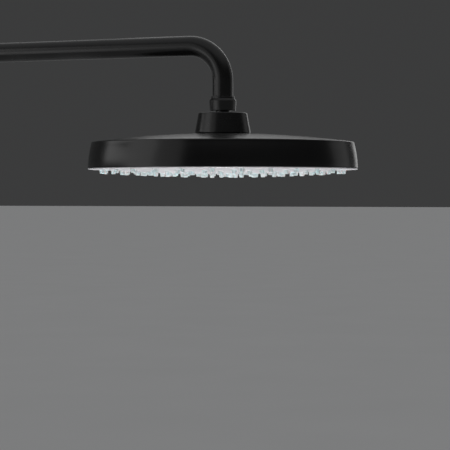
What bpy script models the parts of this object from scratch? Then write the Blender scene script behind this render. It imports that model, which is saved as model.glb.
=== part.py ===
"""Rainfall shower column, modelled at rest in its own frame.

+Z is up and the wall is the plane Y = 0, with the room on the -Y side. The origin is the middle of the
wall bracket's back face. Sizes are in millimetres, and the builders below write metres.

A fixed riser tube stands on a wall elbow and is held by one wall bracket. A bent upper tube slides and
turns in it, and a lock nut clamps it. The rain head hangs from the upper tube's front end on a ball joint.
"""

import math

import bmesh
import bpy
from mathutils import Matrix, Vector

MM = 0.001
GAP = 0.3  # clearance between pieces that meet

# Driving dimensions of the column
RISER_STANDOFF = 60.0  # wall to riser axis
ARM_REACH = 380.0  # riser axis to head axis
ARM_HEIGHT = 170.0  # bracket to arm axis, upper tube pushed down
BEND_RADIUS = 33.5
TUBE_RADIUS = 9.5
TUBE_BORE = 8.3
UPPER_TUBE_END = -300.0
RISER_RADIUS = 11.0
RISER_BORE = 9.9
RISER_TOP = 40.0
RISER_BOTTOM = -556.0
INLET_HEIGHT = -570.0
POST_SCREW = 15.3  # wall to the grub screw under the bracket's post

# Driving dimensions of the rain head. Its heights count up from the lower edge of the shell's wall.
HEAD_RADIUS = 125.0
HEAD_DROP = 114.3  # arm axis down to the shell's lower edge
WALL_TOP = 22.0
WALL_LEAN = 3.0  # how far the wall leans in at its top
WALL_POWER = 1.8
SHOULDER_RADIUS = 120.2
DOME_TOP = 32.1
DOME_CURVE = 0.00055  # fall of the dome, per millimetre squared
SHELL_WALL = 2.4
SHELL_ROOF = 2.2
SHELL_HOLE = 17.0
FACE_EDGE = -1.3
FACE_FLAT = 118.0  # radius where the flange ends and the bulge begins
FACE_BULGE = 4.0
FACE_THICKNESS = 2.2
MAT_THICKNESS = 1.5
POST_COUNT = 5
POST_RADIUS = 4.0
POST_RING = 101.75
NOZZLE_RINGS = 6
NOZZLE_OUTER_RING = 112.0
NOZZLE_SPACING = 26.0  # between neighbours round a ring
NOZZLE_BASE = 2.6
NOZZLE_TIP = 2.0
NOZZLE_STAND = 3.4  # how far a nozzle stands out of the face
NOZZLE_HOLE = 3.0

# Ball joint, in the head's heights
BALL_HEIGHT = 42.0
BALL_RADIUS = 10.0
BALL_NECK = 6.5
BALL_BORE = 4.0
LINER_INNER = 10.35
LINER_OUTER = 11.3
SEAT_INNER = 11.6

# Facets of round pieces
HEAD_SIDES = 40
ROUND_SIDES = 24
TUBE_SIDES = 16
SMALL_SIDES = 8
NOZZLE_SIDES = 5
BEND_STEPS = 6

HEAD_BASE = ARM_HEIGHT - HEAD_DROP


def make_material(name, colour, roughness, metallic=0.0):
    material = bpy.data.materials.new(name)
    material.use_nodes = True
    shader = material.node_tree.nodes["Principled BSDF"]
    shader.inputs["Base Color"].default_value = (*colour, 1.0)
    shader.inputs["Roughness"].default_value = roughness
    shader.inputs["Metallic"].default_value = metallic
    return material


def clear_scene():
    for thing in list(bpy.data.objects):
        bpy.data.objects.remove(thing)


def empty(name, place, parent=None):
    """A frame that pieces hang from, placed in its parent's frame."""
    frame = bpy.data.objects.new(name, None)
    bpy.context.scene.collection.objects.link(frame)
    frame.location = Vector(place) * MM
    frame.parent = parent
    return frame


def finish_mesh(mesh_builder, name, material, parent, place, turn=(0, 0, 0)):
    """Turns a bmesh built in millimetres into a named object of closed, outward-facing faces."""
    bmesh.ops.remove_doubles(mesh_builder, verts=mesh_builder.verts, dist=1e-4)
    bmesh.ops.dissolve_degenerate(mesh_builder, edges=mesh_builder.edges, dist=1e-5)
    bmesh.ops.recalc_face_normals(mesh_builder, faces=mesh_builder.faces)
    mesh_builder.transform(Matrix.Scale(MM, 4))
    mesh = bpy.data.meshes.new(name)
    mesh_builder.to_mesh(mesh)
    mesh_builder.free()
    mesh.shade_smooth()
    mesh.set_sharp_from_angle(angle=math.radians(35))
    mesh.materials.append(material)
    piece = bpy.data.objects.new(name, mesh)
    bpy.context.scene.collection.objects.link(piece)
    piece.location = Vector(place) * MM
    piece.rotation_euler = turn
    piece.parent = parent
    return piece


def spin_profile(profile, sides):
    """A bmesh turned about Z from (radius, height) points.

    A profile that starts and ends on the axis is open there."""
    builder = bmesh.new()
    points = [builder.verts.new((radius, 0.0, height)) for radius, height in profile]
    lines = [builder.edges.new(pair) for pair in zip(points, points[1:])]
    on_axis = profile[0][0] == 0 and profile[-1][0] == 0
    if not on_axis:
        lines.append(builder.edges.new((points[-1], points[0])))
    bmesh.ops.spin(
        builder,
        geom=points + lines,
        cent=(0, 0, 0),
        axis=(0, 0, 1),
        angle=math.tau,
        steps=sides,
        use_merge=True,
    )
    return builder


def turned(name, profile, material, parent, place=(0, 0, 0), sides=ROUND_SIDES, turn=(0, 0, 0)):
    return finish_mesh(spin_profile(profile, sides), name, material, parent, place, turn)


def ring(name, inner, outer, low, high, material, parent, **options):
    """A plain ring or tube between two radii and two heights."""
    profile = [(inner, low), (outer, low), (outer, high), (inner, high)]
    return turned(name, profile, material, parent, **options)


def o_ring(name, inner, outer, low, high, material, parent, **options):
    """A ring with its corners cut off, close to a round section."""
    cut_across = (outer - inner) * 0.29
    cut_up = (high - low) * 0.29
    profile = [
        (inner + cut_across, low),
        (outer - cut_across, low),
        (outer, low + cut_up),
        (outer, high - cut_up),
        (outer - cut_across, high),
        (inner + cut_across, high),
        (inner, high - cut_up),
        (inner, low + cut_up),
    ]
    return turned(name, profile, material, parent, **options)


def cutter(name, builder, parent, place=(0, 0, 0), turn=(0, 0, 0)):
    """A helper shape for a Boolean, left out of the part."""
    shape = finish_mesh(builder, name, MATERIALS["steel"], parent, place, turn)
    shape.hide_render = True
    shape.display_type = "WIRE"
    return shape


def boolean(piece, other, operation):
    modifier = piece.modifiers.new(other.name, "BOOLEAN")
    modifier.operation = operation
    modifier.object = other


def rod_profile(radius, low, high, top_radius=None):
    top = radius if top_radius is None else top_radius
    return [(0, low), (radius, low), (top, high), (0, high)]


def add_rod(builder, centre, radius, low, high, sides, top_radius=None, phase=0.0):
    """Adds an upright rod or cone to a bmesh."""
    top = radius if top_radius is None else top_radius
    step = math.tau / sides
    rows = []
    for level, size in ((low, radius), (high, top)):
        row = []
        for side in range(sides):
            angle = phase + (side + 0.25) * step
            x = centre[0] + size * math.cos(angle)
            y = centre[1] + size * math.sin(angle)
            row.append(builder.verts.new((x, y, level)))
        rows.append(row)
    bottom, upper = rows
    builder.faces.new(bottom[::-1])
    builder.faces.new(upper)
    for side in range(sides):
        after = (side + 1) % sides
        builder.faces.new((bottom[side], bottom[after], upper[after], upper[side]))


def arc_points(centre, radius, start, end, steps):
    """Points along an arc in the plane of the profile, angles in degrees from +radius towards +height."""
    points = []
    for step in range(steps + 1):
        angle = math.radians(start + (end - start) * step / steps)
        points.append((centre[0] + radius * math.cos(angle), centre[1] + radius * math.sin(angle)))
    return points


def sphere_radius(size, height):
    """Radius of a ball of the given size at a height above its centre."""
    return math.sqrt(size * size - height * height)


# ---------------------------------------------------------------- rain head


def wall_radius(height):
    """The shell wall's outside, upright at its foot and leaning in towards its top."""
    return HEAD_RADIUS - WALL_LEAN * (height / WALL_TOP) ** WALL_POWER


def dome_height(radius):
    return DOME_TOP - DOME_CURVE * radius * radius


def face_height(radius):
    """Underside of the spray face, which bulges downwards."""
    return FACE_EDGE - FACE_BULGE * (1 - (min(radius, FACE_FLAT) / FACE_FLAT) ** 2)


def nozzle_places():
    """Nozzles on concentric rings, as (radius, angle). Every other ring has a gap at the front."""
    places = []
    for row in range(1, NOZZLE_RINGS + 1):
        radius = NOZZLE_OUTER_RING * row / NOZZLE_RINGS
        count = round(math.tau * radius / NOZZLE_SPACING)
        offset = 0.0 if row % 2 else 0.5
        for index in range(count):
            places.append((radius, math.tau * (index + offset) / count - 0.5 * math.pi))
    return places


def post_angles():
    return [math.tau * (index + 0.25) / POST_COUNT for index in range(POST_COUNT)]


def at(radius, angle):
    return (radius * math.cos(angle), radius * math.sin(angle))


def head_shell(frame):
    wall = [(wall_radius(height), height) for height in (0, 8, 15, WALL_TOP)]
    roof = [(radius, dome_height(radius)) for radius in (SHOULDER_RADIUS, 90, 55, SHELL_HOLE)]
    under = [(radius, dome_height(radius) - SHELL_ROOF) for radius in (SHELL_HOLE, 55, 90, 117.0)]
    inside = [(wall_radius(height) - SHELL_WALL, height) for height in (20, 0)]
    turned("head_shell", wall + roof + under + inside, MATERIALS["black_abs"], frame, sides=HEAD_SIDES)


def face_plate(frame):
    skirt_outer, skirt_inner, skirt_top = 121.9, 118.9, 5.0
    below = [(radius, face_height(radius)) for radius in (0, 40, 80, FACE_FLAT)]
    flange = [(124.6, FACE_EDGE), (HEAD_RADIUS, -0.8), (HEAD_RADIUS, -GAP)]
    skirt = [(skirt_outer, -GAP), (skirt_outer, skirt_top), (skirt_inner, skirt_top)]
    above = [(radius, face_height(radius) + FACE_THICKNESS) for radius in (skirt_inner, 80, 40, 0)]
    plate = turned(
        "face_plate", below + flange + skirt + above, MATERIALS["face_white"], frame, sides=HEAD_SIDES
    )
    posts = bmesh.new()
    pilot_holes = bmesh.new()
    for angle in post_angles():
        foot = face_height(POST_RING) + 1.0
        add_rod(posts, at(POST_RING, angle), POST_RADIUS, foot, 7.3, SMALL_SIDES, phase=angle)
        add_rod(pilot_holes, at(POST_RING, angle), 1.65, 2.4, 8.3, SMALL_SIDES, phase=angle)
    boolean(plate, cutter("screw_posts", posts, frame), "UNION")
    boolean(plate, cutter("pilot_holes", pilot_holes, frame), "DIFFERENCE")
    holes = bmesh.new()
    for radius, angle in nozzle_places():
        low = face_height(radius) - 2.0
        high = face_height(radius) + FACE_THICKNESS + 2.0
        add_rod(holes, at(radius, angle), NOZZLE_HOLE, low, high, NOZZLE_SIDES, phase=angle)
    boolean(plate, cutter("nozzle_holes", holes, frame), "DIFFERENCE")


def nozzle_mat(frame):
    edge = 118.3
    lift = FACE_THICKNESS + GAP
    below = [(radius, face_height(radius) + lift) for radius in (0, 40, 80, edge)]
    above = [(radius, face_height(radius) + lift + MAT_THICKNESS) for radius in (edge, 80, 40, 0)]
    mat = turned("nozzle_mat", below + above, MATERIALS["silicone"], frame, sides=HEAD_SIDES)
    nozzles = bmesh.new()
    for radius, angle in nozzle_places():
        tip = face_height(radius) - NOZZLE_STAND
        root = face_height(radius) + lift + 0.5 * MAT_THICKNESS
        add_rod(nozzles, at(radius, angle), NOZZLE_TIP, tip, root, NOZZLE_SIDES, NOZZLE_BASE, angle)
    boolean(mat, cutter("nozzles", nozzles, frame), "UNION")
    post_holes = bmesh.new()
    for angle in post_angles():
        add_rod(post_holes, at(POST_RING, angle), POST_RADIUS + 0.6, -3.0, 6.0, SMALL_SIDES, phase=angle)
    boolean(mat, cutter("post_holes", post_holes, frame), "DIFFERENCE")


def water_chamber(frame):
    """The head's inner body: it covers the nozzle mat, and its neck carries the ball joint and bell nut."""
    profile = [
        (114.8, 2.95),
        (117.6, 2.95),
        (117.6, 7.6),
        (121.0, 7.6),
        (121.0, 9.8),
        (28.0, 9.8),
        (20.5, 26.0),
        (20.5, 29.3),
        (16.6, 29.3),
        (16.6, 41.5),
        (13.4, 41.5),
        (13.4, 35.6),
        (9.9, 35.6),
        (9.9, 30.4),
        (5.0, 30.4),
        (5.0, 26.0),
        (24.0, 7.6),
        (114.8, 7.6),
    ]
    chamber = turned("water_chamber", profile, MATERIALS["grey_abs"], frame, sides=HEAD_SIDES)
    screw_holes = bmesh.new()
    for angle in post_angles():
        add_rod(screw_holes, at(POST_RING, angle), 1.75, 6.0, 12.0, SMALL_SIDES, phase=angle)
    boolean(chamber, cutter("screw_holes", screw_holes, frame), "DIFFERENCE")


def face_screws(frame):
    profile = [(0, 3.0), (1.35, 3.0), (1.35, 10.1), (2.9, 10.1), (2.9, 11.6), (1.8, 12.2), (0, 12.2)]
    for number, angle in enumerate(post_angles(), start=1):
        place = (*at(POST_RING, angle), 0)
        turned(f"face_screw_{number}", profile, MATERIALS["steel"], frame, place, sides=SMALL_SIDES)


def bell_nut(frame):
    profile = [
        (17.2, 32.5),
        (25.5, 32.5),
        (25.9, 33.2),
        (22.9, 50.4),
        (22.1, 51.3),
        (15.0, 51.3),
        (15.0, 49.0),
        (10.6, 49.0),
        (10.6, 46.9),
        (17.2, 46.9),
    ]
    turned("bell_nut", profile, MATERIALS["black_metal"], frame, sides=32)


def head(frame):
    head_shell(frame)
    face_plate(frame)
    nozzle_mat(frame)
    water_chamber(frame)
    o_ring("chamber_seal", 119.3, 121.0, 5.3, 7.3, MATERIALS["black_rubber"], frame, sides=HEAD_SIDES)
    face_screws(frame)
    bell_nut(frame)


# ---------------------------------------------------------------- ball joint


def ball_seats(frame):
    """The acetal ring above the ball and the rubber cup below it, which grip the liner."""
    upper = [(16.8, -0.2), (16.8, 4.6)]
    upper += [(sphere_radius(SEAT_INNER, height), height) for height in (4.6, 2.2, -0.2)]
    turned("ball_seat", upper, MATERIALS["acetal"], frame)
    lower = [(13.1, -6.1), (13.1, -0.8)]
    lower += [(sphere_radius(SEAT_INNER, height), height) for height in (-0.8, -3.5, -6.1)]
    turned("ball_seal", lower, MATERIALS["black_rubber"], frame)


def ball_liner(frame):
    heights = (-6.0, -3.0, 0.0, 2.4, 4.5)
    inner = [(sphere_radius(LINER_INNER, height), height) for height in heights]
    outer = [(sphere_radius(LINER_OUTER, height), height) for height in reversed(heights)]
    turned("ball_liner", inner + outer, MATERIALS["acetal"], frame)


def swivel_collar(frame):
    """One turned piece: a threaded collar above, a neck, and the drilled ball below."""
    bottom = -math.degrees(math.acos(BALL_BORE / BALL_RADIUS))
    top = math.degrees(math.acos(BALL_NECK / BALL_RADIUS))
    profile = arc_points((0, BALL_HEIGHT), BALL_RADIUS, bottom, top, 10)
    profile += [
        (BALL_NECK, 53.3),
        (11.7, 53.3),
        (12.1, 54.0),
        (12.5, 62.4),
        (11.3, 64.6),
        (10.75, 64.6),
        (10.75, 54.6),
        (BALL_BORE, 54.6),
    ]
    turned("swivel_collar", profile, MATERIALS["black_metal"], frame)


# ---------------------------------------------------------------- upper tube


def arm_path():
    """Centre line of the upper tube in the arm's plane, as (distance out, height), with directions."""
    end_height = HEAD_BASE + 66.9
    low_bend = ARM_HEIGHT - BEND_RADIUS
    path = [((0.0, UPPER_TUBE_END), 90.0)]
    for step in range(BEND_STEPS + 1):
        angle = 90.0 * step / BEND_STEPS
        out = BEND_RADIUS * (1 - math.cos(math.radians(angle)))
        up = low_bend + BEND_RADIUS * math.sin(math.radians(angle))
        path.append(((out, up), 90.0 - angle))
    for step in range(BEND_STEPS + 1):
        angle = 90.0 * step / BEND_STEPS
        out = ARM_REACH - BEND_RADIUS + BEND_RADIUS * math.sin(math.radians(angle))
        up = low_bend + BEND_RADIUS * math.cos(math.radians(angle))
        path.append(((out, up), -angle))
    path.append(((ARM_REACH, end_height), -90.0))
    return path


def ring_round(builder, centre, heading, radius):
    """A loop of vertices round the path, square to its heading in degrees."""
    across = Vector((1, 0, 0))
    aside = Vector((0, math.sin(math.radians(heading)), math.cos(math.radians(heading))))
    middle = Vector((0, -centre[0], centre[1]))
    loop = []
    for side in range(TUBE_SIDES):
        angle = math.tau * side / TUBE_SIDES
        outward = math.cos(angle) * across + math.sin(angle) * aside
        loop.append(builder.verts.new(middle + radius * outward))
    return loop


def join_loops(builder, first, second):
    for side in range(len(first)):
        after = (side + 1) % len(first)
        builder.faces.new((first[side], first[after], second[after], second[side]))


def upper_tube(frame):
    """The bent tube: down inside the riser, over in one level arm, and down again to the head."""
    builder = bmesh.new()
    outer = [ring_round(builder, centre, heading, TUBE_RADIUS) for centre, heading in arm_path()]
    inner = [ring_round(builder, centre, heading, TUBE_BORE) for centre, heading in arm_path()]
    for loops in (outer, inner):
        for first, second in zip(loops, loops[1:]):
            join_loops(builder, first, second)
    join_loops(builder, outer[0], inner[0])
    join_loops(builder, outer[-1], inner[-1])
    finish_mesh(builder, "upper_tube", MATERIALS["black_metal"], frame, (0, 0, 0))


def arm_end(frame):
    """The threaded end of the arm and what sits in the collar, in the head's heights."""
    nipple = [
        (6.0, 57.2),
        (10.45, 57.2),
        (10.45, 64.9),
        (10.9, 64.9),
        (10.9, 66.0),
        (10.4, 66.6),
        (8.0, 66.6),
        (8.0, 76.0),
        (6.0, 76.0),
    ]
    turned("arm_nipple", nipple, MATERIALS["brass"], frame)
    ring("inlet_washer", 4.6, 10.4, 54.9, 56.9, MATERIALS["black_rubber"], frame, sides=16)
    ring("flow_regulator", 2.0, 5.6, 58.0, 63.0, MATERIALS["acetal"], frame, sides=16)


def piston(frame):
    """The sliding foot of the upper tube, with a groove for each of its two seals."""
    top = UPPER_TUBE_END - GAP
    body, groove, bore, spigot = 9.4, 7.6, 5.5, 7.8
    seal_height, groove_height = 2.0, 2.6
    groove_bottoms = (top - 8.6, top - 18.6)
    profile = [(bore, top - 26.0), (body, top - 26.0)]
    for bottom in reversed(groove_bottoms):
        profile += [(body, bottom), (groove, bottom)]
        profile += [(groove, bottom + groove_height), (body, bottom + groove_height)]
    profile += [(body, top), (spigot, top), (spigot, top + 12.0), (bore, top + 12.0)]
    turned("piston", profile, MATERIALS["brass"], frame)
    for number, bottom in enumerate(groove_bottoms, start=1):
        low = bottom + 0.5 * (groove_height - seal_height)
        o_ring(
            f"piston_seal_{number}", 7.85, 9.65, low, low + seal_height, MATERIALS["black_rubber"], frame
        )


# ---------------------------------------------------------------- riser and lock


def riser(frame):
    ring("riser_tube", RISER_BORE, RISER_RADIUS, RISER_BOTTOM, RISER_TOP, MATERIALS["black_metal"], frame)
    collet = [(9.9, 40.4), (12.5, 40.4), (12.5, 44.0), (11.3, 50.6), (9.9, 50.6)]
    turned("clamp_collet", collet, MATERIALS["acetal"], frame)
    nut = [
        (14.3, -555.0),
        (16.4, -555.0),
        (17.0, -554.2),
        (17.0, -536.5),
        (15.8, -534.0),
        (11.4, -534.0),
        (11.4, -537.6),
        (14.3, -537.6),
    ]
    turned("riser_union_nut", nut, MATERIALS["black_metal"], frame)
    o_ring("riser_seal", 11.4, 13.9, -540.6, -538.1, MATERIALS["black_rubber"], frame)


def lock_nut(frame):
    profile = [
        (11.4, 24.0),
        (14.5, 24.0),
        (15.2, 24.8),
        (15.2, 50.0),
        (13.4, 56.4),
        (12.6, 57.0),
        (9.95, 57.0),
        (9.95, 53.0),
        (11.8, 51.2),
        (13.0, 44.2),
        (13.0, 40.0),
        (11.4, 40.0),
    ]
    turned("lock_nut", profile, MATERIALS["black_metal"], frame)


# ---------------------------------------------------------------- wall fittings

OUT_OF_WALL = (math.radians(90), 0, 0)  # turns a piece's own +Z to face out of the wall


def wall_bracket():
    """Base plate, cover, and an arm whose ring holds the riser. Heights here count out of the wall."""
    wall = empty("bracket_on_wall", (0, 0, 0))
    base_profile = [(0, 0), (24.0, 0), (24.0, 4.2), (23.2, 5.0), (5.0, 5.0), (5.0, 22.0), (0, 22.0)]
    base = turned("bracket_base", base_profile, MATERIALS["brass"], wall, turn=OUT_OF_WALL)
    screw_holes = bmesh.new()
    for side in (-1, 1):
        add_rod(screw_holes, (15.0 * side, 0), 2.4, -2.0, 8.0, 10)
    boolean(base, cutter("bracket_screw_holes", screw_holes, wall, turn=OUT_OF_WALL), "DIFFERENCE")

    cover = [
        (25.4, 0),
        (27.0, 0),
        (27.0, 6.0),
        (26.0, 8.2),
        (24.5, 9.0),
        (9.0, 9.0),
        (9.0, 7.5),
        (24.0, 7.5),
        (25.4, 5.5),
    ]
    turned("bracket_cover", cover, MATERIALS["black_metal"], wall, turn=OUT_OF_WALL, sides=32)

    post_end = RISER_STANDOFF - 12.5
    post = [(0, 23.0), (5.4, 23.0), (5.4, 5.5), (8.4, 5.5), (8.4, post_end), (0, post_end)]
    arm = turned("bracket_arm", post, MATERIALS["black_metal"], wall, turn=OUT_OF_WALL)
    on_riser = (0, -RISER_STANDOFF, 0)
    collar = [(11.4, -12.0), (15.0, -12.0), (15.6, -11.4), (15.6, 11.4), (15.0, 12.0), (11.4, 12.0)]
    boolean(arm, cutter("bracket_collar", spin_profile(collar, ROUND_SIDES), wall, on_riser), "UNION")

    grub_holes = bmesh.new()
    add_rod(grub_holes, (0, 0), 1.75, 10.0, 18.0, SMALL_SIDES)
    aside = (0, math.radians(90), 0)
    grub_holes.transform(Matrix.Translation(on_riser) @ Matrix.Rotation(aside[1], 4, "Y"))
    add_rod(grub_holes, (0, -POST_SCREW), 1.75, -10.0, -4.0, SMALL_SIDES)
    boolean(arm, cutter("grub_screw_holes", grub_holes, wall), "DIFFERENCE")
    screw = rod_profile(1.45, -8.0, -5.3)
    turned("post_grub_screw", screw, MATERIALS["steel"], wall, (0, -POST_SCREW, 0), SMALL_SIDES)
    screw = rod_profile(1.45, 11.5, 15.2)
    turned("ring_grub_screw", screw, MATERIALS["steel"], wall, on_riser, SMALL_SIDES, aside)


def wall_inlet():
    """The wall elbow that feeds the riser, with its cover. Heights count out of the wall."""
    wall = empty("inlet_on_wall", (0, 0, INLET_HEIGHT))
    spigot = [
        (0, -14.0),
        (10.45, -14.0),
        (10.45, 3.0),
        (11.8, 3.0),
        (11.8, RISER_STANDOFF),
        (0, RISER_STANDOFF),
    ]
    elbow = turned("inlet_elbow", spigot, MATERIALS["black_metal"], wall, turn=OUT_OF_WALL)
    on_riser = (0, -RISER_STANDOFF, 0)
    knuckle = [(0, -14.0), *arc_points((0, 0), 14.0, -75, 0, 5), (14.0, 29.0), (0, 29.0)]
    boolean(elbow, cutter("elbow_knuckle", spin_profile(knuckle, ROUND_SIDES), wall, on_riser), "UNION")
    feed = spin_profile(rod_profile(6.5, -15.0, RISER_STANDOFF), 16)
    boolean(elbow, cutter("elbow_feed", feed, wall, turn=OUT_OF_WALL), "DIFFERENCE")
    rise = [(0, -2.0), (8.5, -2.0), (8.5, 12.7), (11.4, 12.7), (11.4, 31.0), (0, 31.0)]
    boolean(elbow, cutter("elbow_rise", spin_profile(rise, ROUND_SIDES), wall, on_riser), "DIFFERENCE")

    cover = [
        (28.4, 0),
        (30.0, 0),
        (30.0, 1.6),
        (27.0, 8.0),
        (24.0, 10.0),
        (12.2, 10.0),
        (12.2, 8.4),
        (23.6, 8.4),
        (25.8, 7.0),
        (28.4, 1.4),
    ]
    turned("inlet_cover", cover, MATERIALS["black_metal"], wall, turn=OUT_OF_WALL, sides=32)
    ring("inlet_filter", 2.5, 6.1, -12.0, -9.0, MATERIALS["acetal"], wall, sides=16, turn=OUT_OF_WALL)


clear_scene()

MATERIALS = {
    "black_metal": make_material("black_metal", (0.020, 0.020, 0.021), 0.42, 0.2),
    "black_abs": make_material("black_abs", (0.022, 0.022, 0.023), 0.45),
    "grey_abs": make_material("grey_abs", (0.25, 0.26, 0.27), 0.5),
    "face_white": make_material("face_white", (0.72, 0.71, 0.73), 0.35),
    "silicone": make_material("silicone", (0.80, 0.88, 0.88), 0.4),
    "acetal": make_material("acetal", (0.80, 0.80, 0.77), 0.4),
    "black_rubber": make_material("black_rubber", (0.03, 0.03, 0.03), 0.7),
    "brass": make_material("brass", (0.72, 0.55, 0.25), 0.35, 1.0),
    "steel": make_material("steel", (0.6, 0.6, 0.6), 0.35, 1.0),
}

riser_frame = empty("riser_axis", (0, -RISER_STANDOFF, 0))
slide_frame = empty("slide_axis", (0, 0, 0), riser_frame)
arm_frame = empty("arm_swivel_axis", (0, 0, 0), slide_frame)
ball_frame = empty("ball_centre", (0, -ARM_REACH, HEAD_BASE + BALL_HEIGHT), arm_frame)
head_frame = empty("head_axis", (0, 0, -BALL_HEIGHT), ball_frame)

riser(riser_frame)
lock_nut(riser_frame)
wall_bracket()
wall_inlet()
piston(slide_frame)
upper_tube(arm_frame)
arm_end(head_frame)
swivel_collar(head_frame)
ball_liner(ball_frame)
ball_seats(ball_frame)
head(head_frame)
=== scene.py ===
"""Rainfall shower column: its looks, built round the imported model.

The column is taken in the order in which it is put together: wall inlet, riser, wall bracket, lock,
sliding foot, arm, ball joint and rain head. Each section holds its piece's sizes, mesh, material and
frame calls. Lengths are in millimetres, and meshes are made in metres in the model's own frame.
"""

import math

import bmesh
import bpy
from mathutils import Matrix, Vector


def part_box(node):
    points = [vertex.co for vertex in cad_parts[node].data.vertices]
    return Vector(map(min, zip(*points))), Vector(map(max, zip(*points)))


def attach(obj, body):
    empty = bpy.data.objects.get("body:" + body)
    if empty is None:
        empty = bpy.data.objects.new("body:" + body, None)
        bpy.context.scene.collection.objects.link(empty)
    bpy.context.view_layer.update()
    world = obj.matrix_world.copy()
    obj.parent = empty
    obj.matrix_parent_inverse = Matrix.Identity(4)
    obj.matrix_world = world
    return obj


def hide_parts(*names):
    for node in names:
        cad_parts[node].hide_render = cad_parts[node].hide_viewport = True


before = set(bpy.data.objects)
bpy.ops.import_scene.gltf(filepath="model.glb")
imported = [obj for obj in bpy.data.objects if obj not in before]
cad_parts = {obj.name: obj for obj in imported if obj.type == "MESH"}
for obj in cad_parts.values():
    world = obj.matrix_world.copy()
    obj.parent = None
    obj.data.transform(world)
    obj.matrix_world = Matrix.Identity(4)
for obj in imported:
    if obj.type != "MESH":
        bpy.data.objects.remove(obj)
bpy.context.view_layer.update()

# ---------------------------------------------------------------- wall inlet, black casting
# The elbow that feeds the column is one brass casting, powder-coated black. Its threaded spigot goes into
# the supply in the wall, and its socket points up and takes the riser's foot.

MM = 0.001
ROUND = 96  # sides of a turned piece


def node(tree, kind, inputs=(), **settings):
    """Adds a node, and sets each named or numbered input to a value or links it to a socket."""
    made = tree.nodes.new(kind)
    for name, value in settings.items():
        setattr(made, name, value)
    for name, value in dict(inputs).items():
        if isinstance(value, bpy.types.NodeSocket):
            tree.links.new(value, made.inputs[name])
        else:
            made.inputs[name].default_value = value
    return made


def math_node(tree, operation, first, second=0.0):
    return node(tree, "ShaderNodeMath", {0: first, 1: second}, operation=operation).outputs[0]


def effect_group(name, inputs, outputs):
    """An empty shader group with float inputs (name: default) and float outputs."""
    tree = bpy.data.node_groups.new(name, "ShaderNodeTree")
    for label, default in inputs.items():
        socket = tree.interface.new_socket(label, in_out="INPUT", socket_type="NodeSocketFloat")
        socket.default_value = default
    for label in outputs:
        tree.interface.new_socket(label, in_out="OUTPUT", socket_type="NodeSocketFloat")
    return tree, tree.nodes.new("NodeGroupInput").outputs, tree.nodes.new("NodeGroupOutput").inputs


def wire(tree, value, socket):
    tree.links.new(value, socket)


def between(tree, value, low, high, start=0.0, stop=1.0):
    """Runs from low to high as value runs from start to stop."""
    limits = {"Value": value, "From Min": start, "From Max": stop, "To Min": low, "To Max": high}
    return node(tree, "ShaderNodeMapRange", limits).outputs["Result"]


def on_piece(tree):
    """Object coordinates, which are metres in the model's own frame."""
    return node(tree, "ShaderNodeTexCoord").outputs["Object"]


def noise(tree, place, scale, detail):
    pattern = {"Vector": place, "Scale": scale, "Detail": detail}
    return node(tree, "ShaderNodeTexNoise", pattern).outputs["Fac"]


def fine_grain_group():
    """The tiny pimples of a powder coat or a moulding, at one size and again three times finer."""
    tree, given, out = effect_group("fine_grain", {"Grain Size": 0.0006}, ["Height"])
    place = on_piece(tree)
    scale = math_node(tree, "DIVIDE", 1.0, given["Grain Size"])
    coarse = noise(tree, place, scale, 1.0)
    fine = noise(tree, place, math_node(tree, "MULTIPLY", scale, 3.1), 2.0)
    wire(tree, math_node(tree, "ADD", coarse, math_node(tree, "MULTIPLY", fine, 0.35)), out["Height"])
    return tree


def handling_group():
    """Broad, faint patches where hands and cloths have polished the surface, with thin wiped streaks."""
    tree, given, out = effect_group("handling", {"Patch Size": 0.03}, ["Patches", "Streaks"])
    place = on_piece(tree)
    scale = math_node(tree, "DIVIDE", 1.0, given["Patch Size"])
    wire(tree, between(tree, noise(tree, place, scale, 3.0), 0.0, 1.0, 0.3, 0.7), out["Patches"])
    stretch = {"Vector": place, "Rotation": (0.3, 0.5, 0.2), "Scale": (1.0, 1.0, 14.0)}
    wiped = noise(tree, node(tree, "ShaderNodeMapping", stretch).outputs["Vector"], scale, 5.0)
    wire(tree, between(tree, wiped, 0.0, 1.0, 0.52, 0.78), out["Streaks"])
    return tree


def rubbed_edge_and_highlight_group():
    """Where a coat is rubbed smoother on its rounded edges and lighter in colour there, partly as wear and
    partly as a painted edge highlight. Turned pieces mark those edges with 1.
    """
    tree, given, out = effect_group("rubbed_edge_and_highlight", {"Breakup": 0.5}, ["Mask"])
    edge = node(tree, "ShaderNodeAttribute", attribute_name="edge").outputs["Fac"]
    loss = math_node(tree, "MULTIPLY", noise(tree, on_piece(tree), 260.0, 4.0), given["Breakup"])
    kept = math_node(tree, "SUBTRACT", edge, loss)
    wire(tree, node(tree, "ShaderNodeClamp", {"Value": kept}).outputs["Result"], out["Mask"])
    return tree


def water_spot_group():
    """Dried drops: sparse pale rings of lime, with lines finer than a millimetre."""
    tree, given, out = effect_group("water_spots", {"Spot Size": 0.004, "Amount": 0.3}, ["Mask"])
    scale = math_node(tree, "DIVIDE", 1.0, given["Spot Size"])
    scatter = {"Vector": on_piece(tree), "Scale": scale, "Randomness": 1.0}
    cells = node(tree, "ShaderNodeTexVoronoi", scatter)
    rim = between(tree, cells.outputs["Distance"], 0.0, 1.0, 0.22, 0.13)
    hollow = between(tree, cells.outputs["Distance"], 0.0, 1.0, 0.04, 0.13)
    drop = math_node(tree, "MULTIPLY", rim, hollow)
    pick = node(tree, "ShaderNodeSeparateColor", {"Color": cells.outputs["Color"]}).outputs["Red"]
    chosen = math_node(tree, "LESS_THAN", pick, given["Amount"])
    wire(tree, math_node(tree, "MULTIPLY", drop, chosen), out["Mask"])
    return tree


FINE_GRAIN = fine_grain_group()
HANDLING = handling_group()
RUBBED_EDGE_AND_HIGHLIGHT = rubbed_edge_and_highlight_group()
WATER_SPOTS = water_spot_group()


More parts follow.
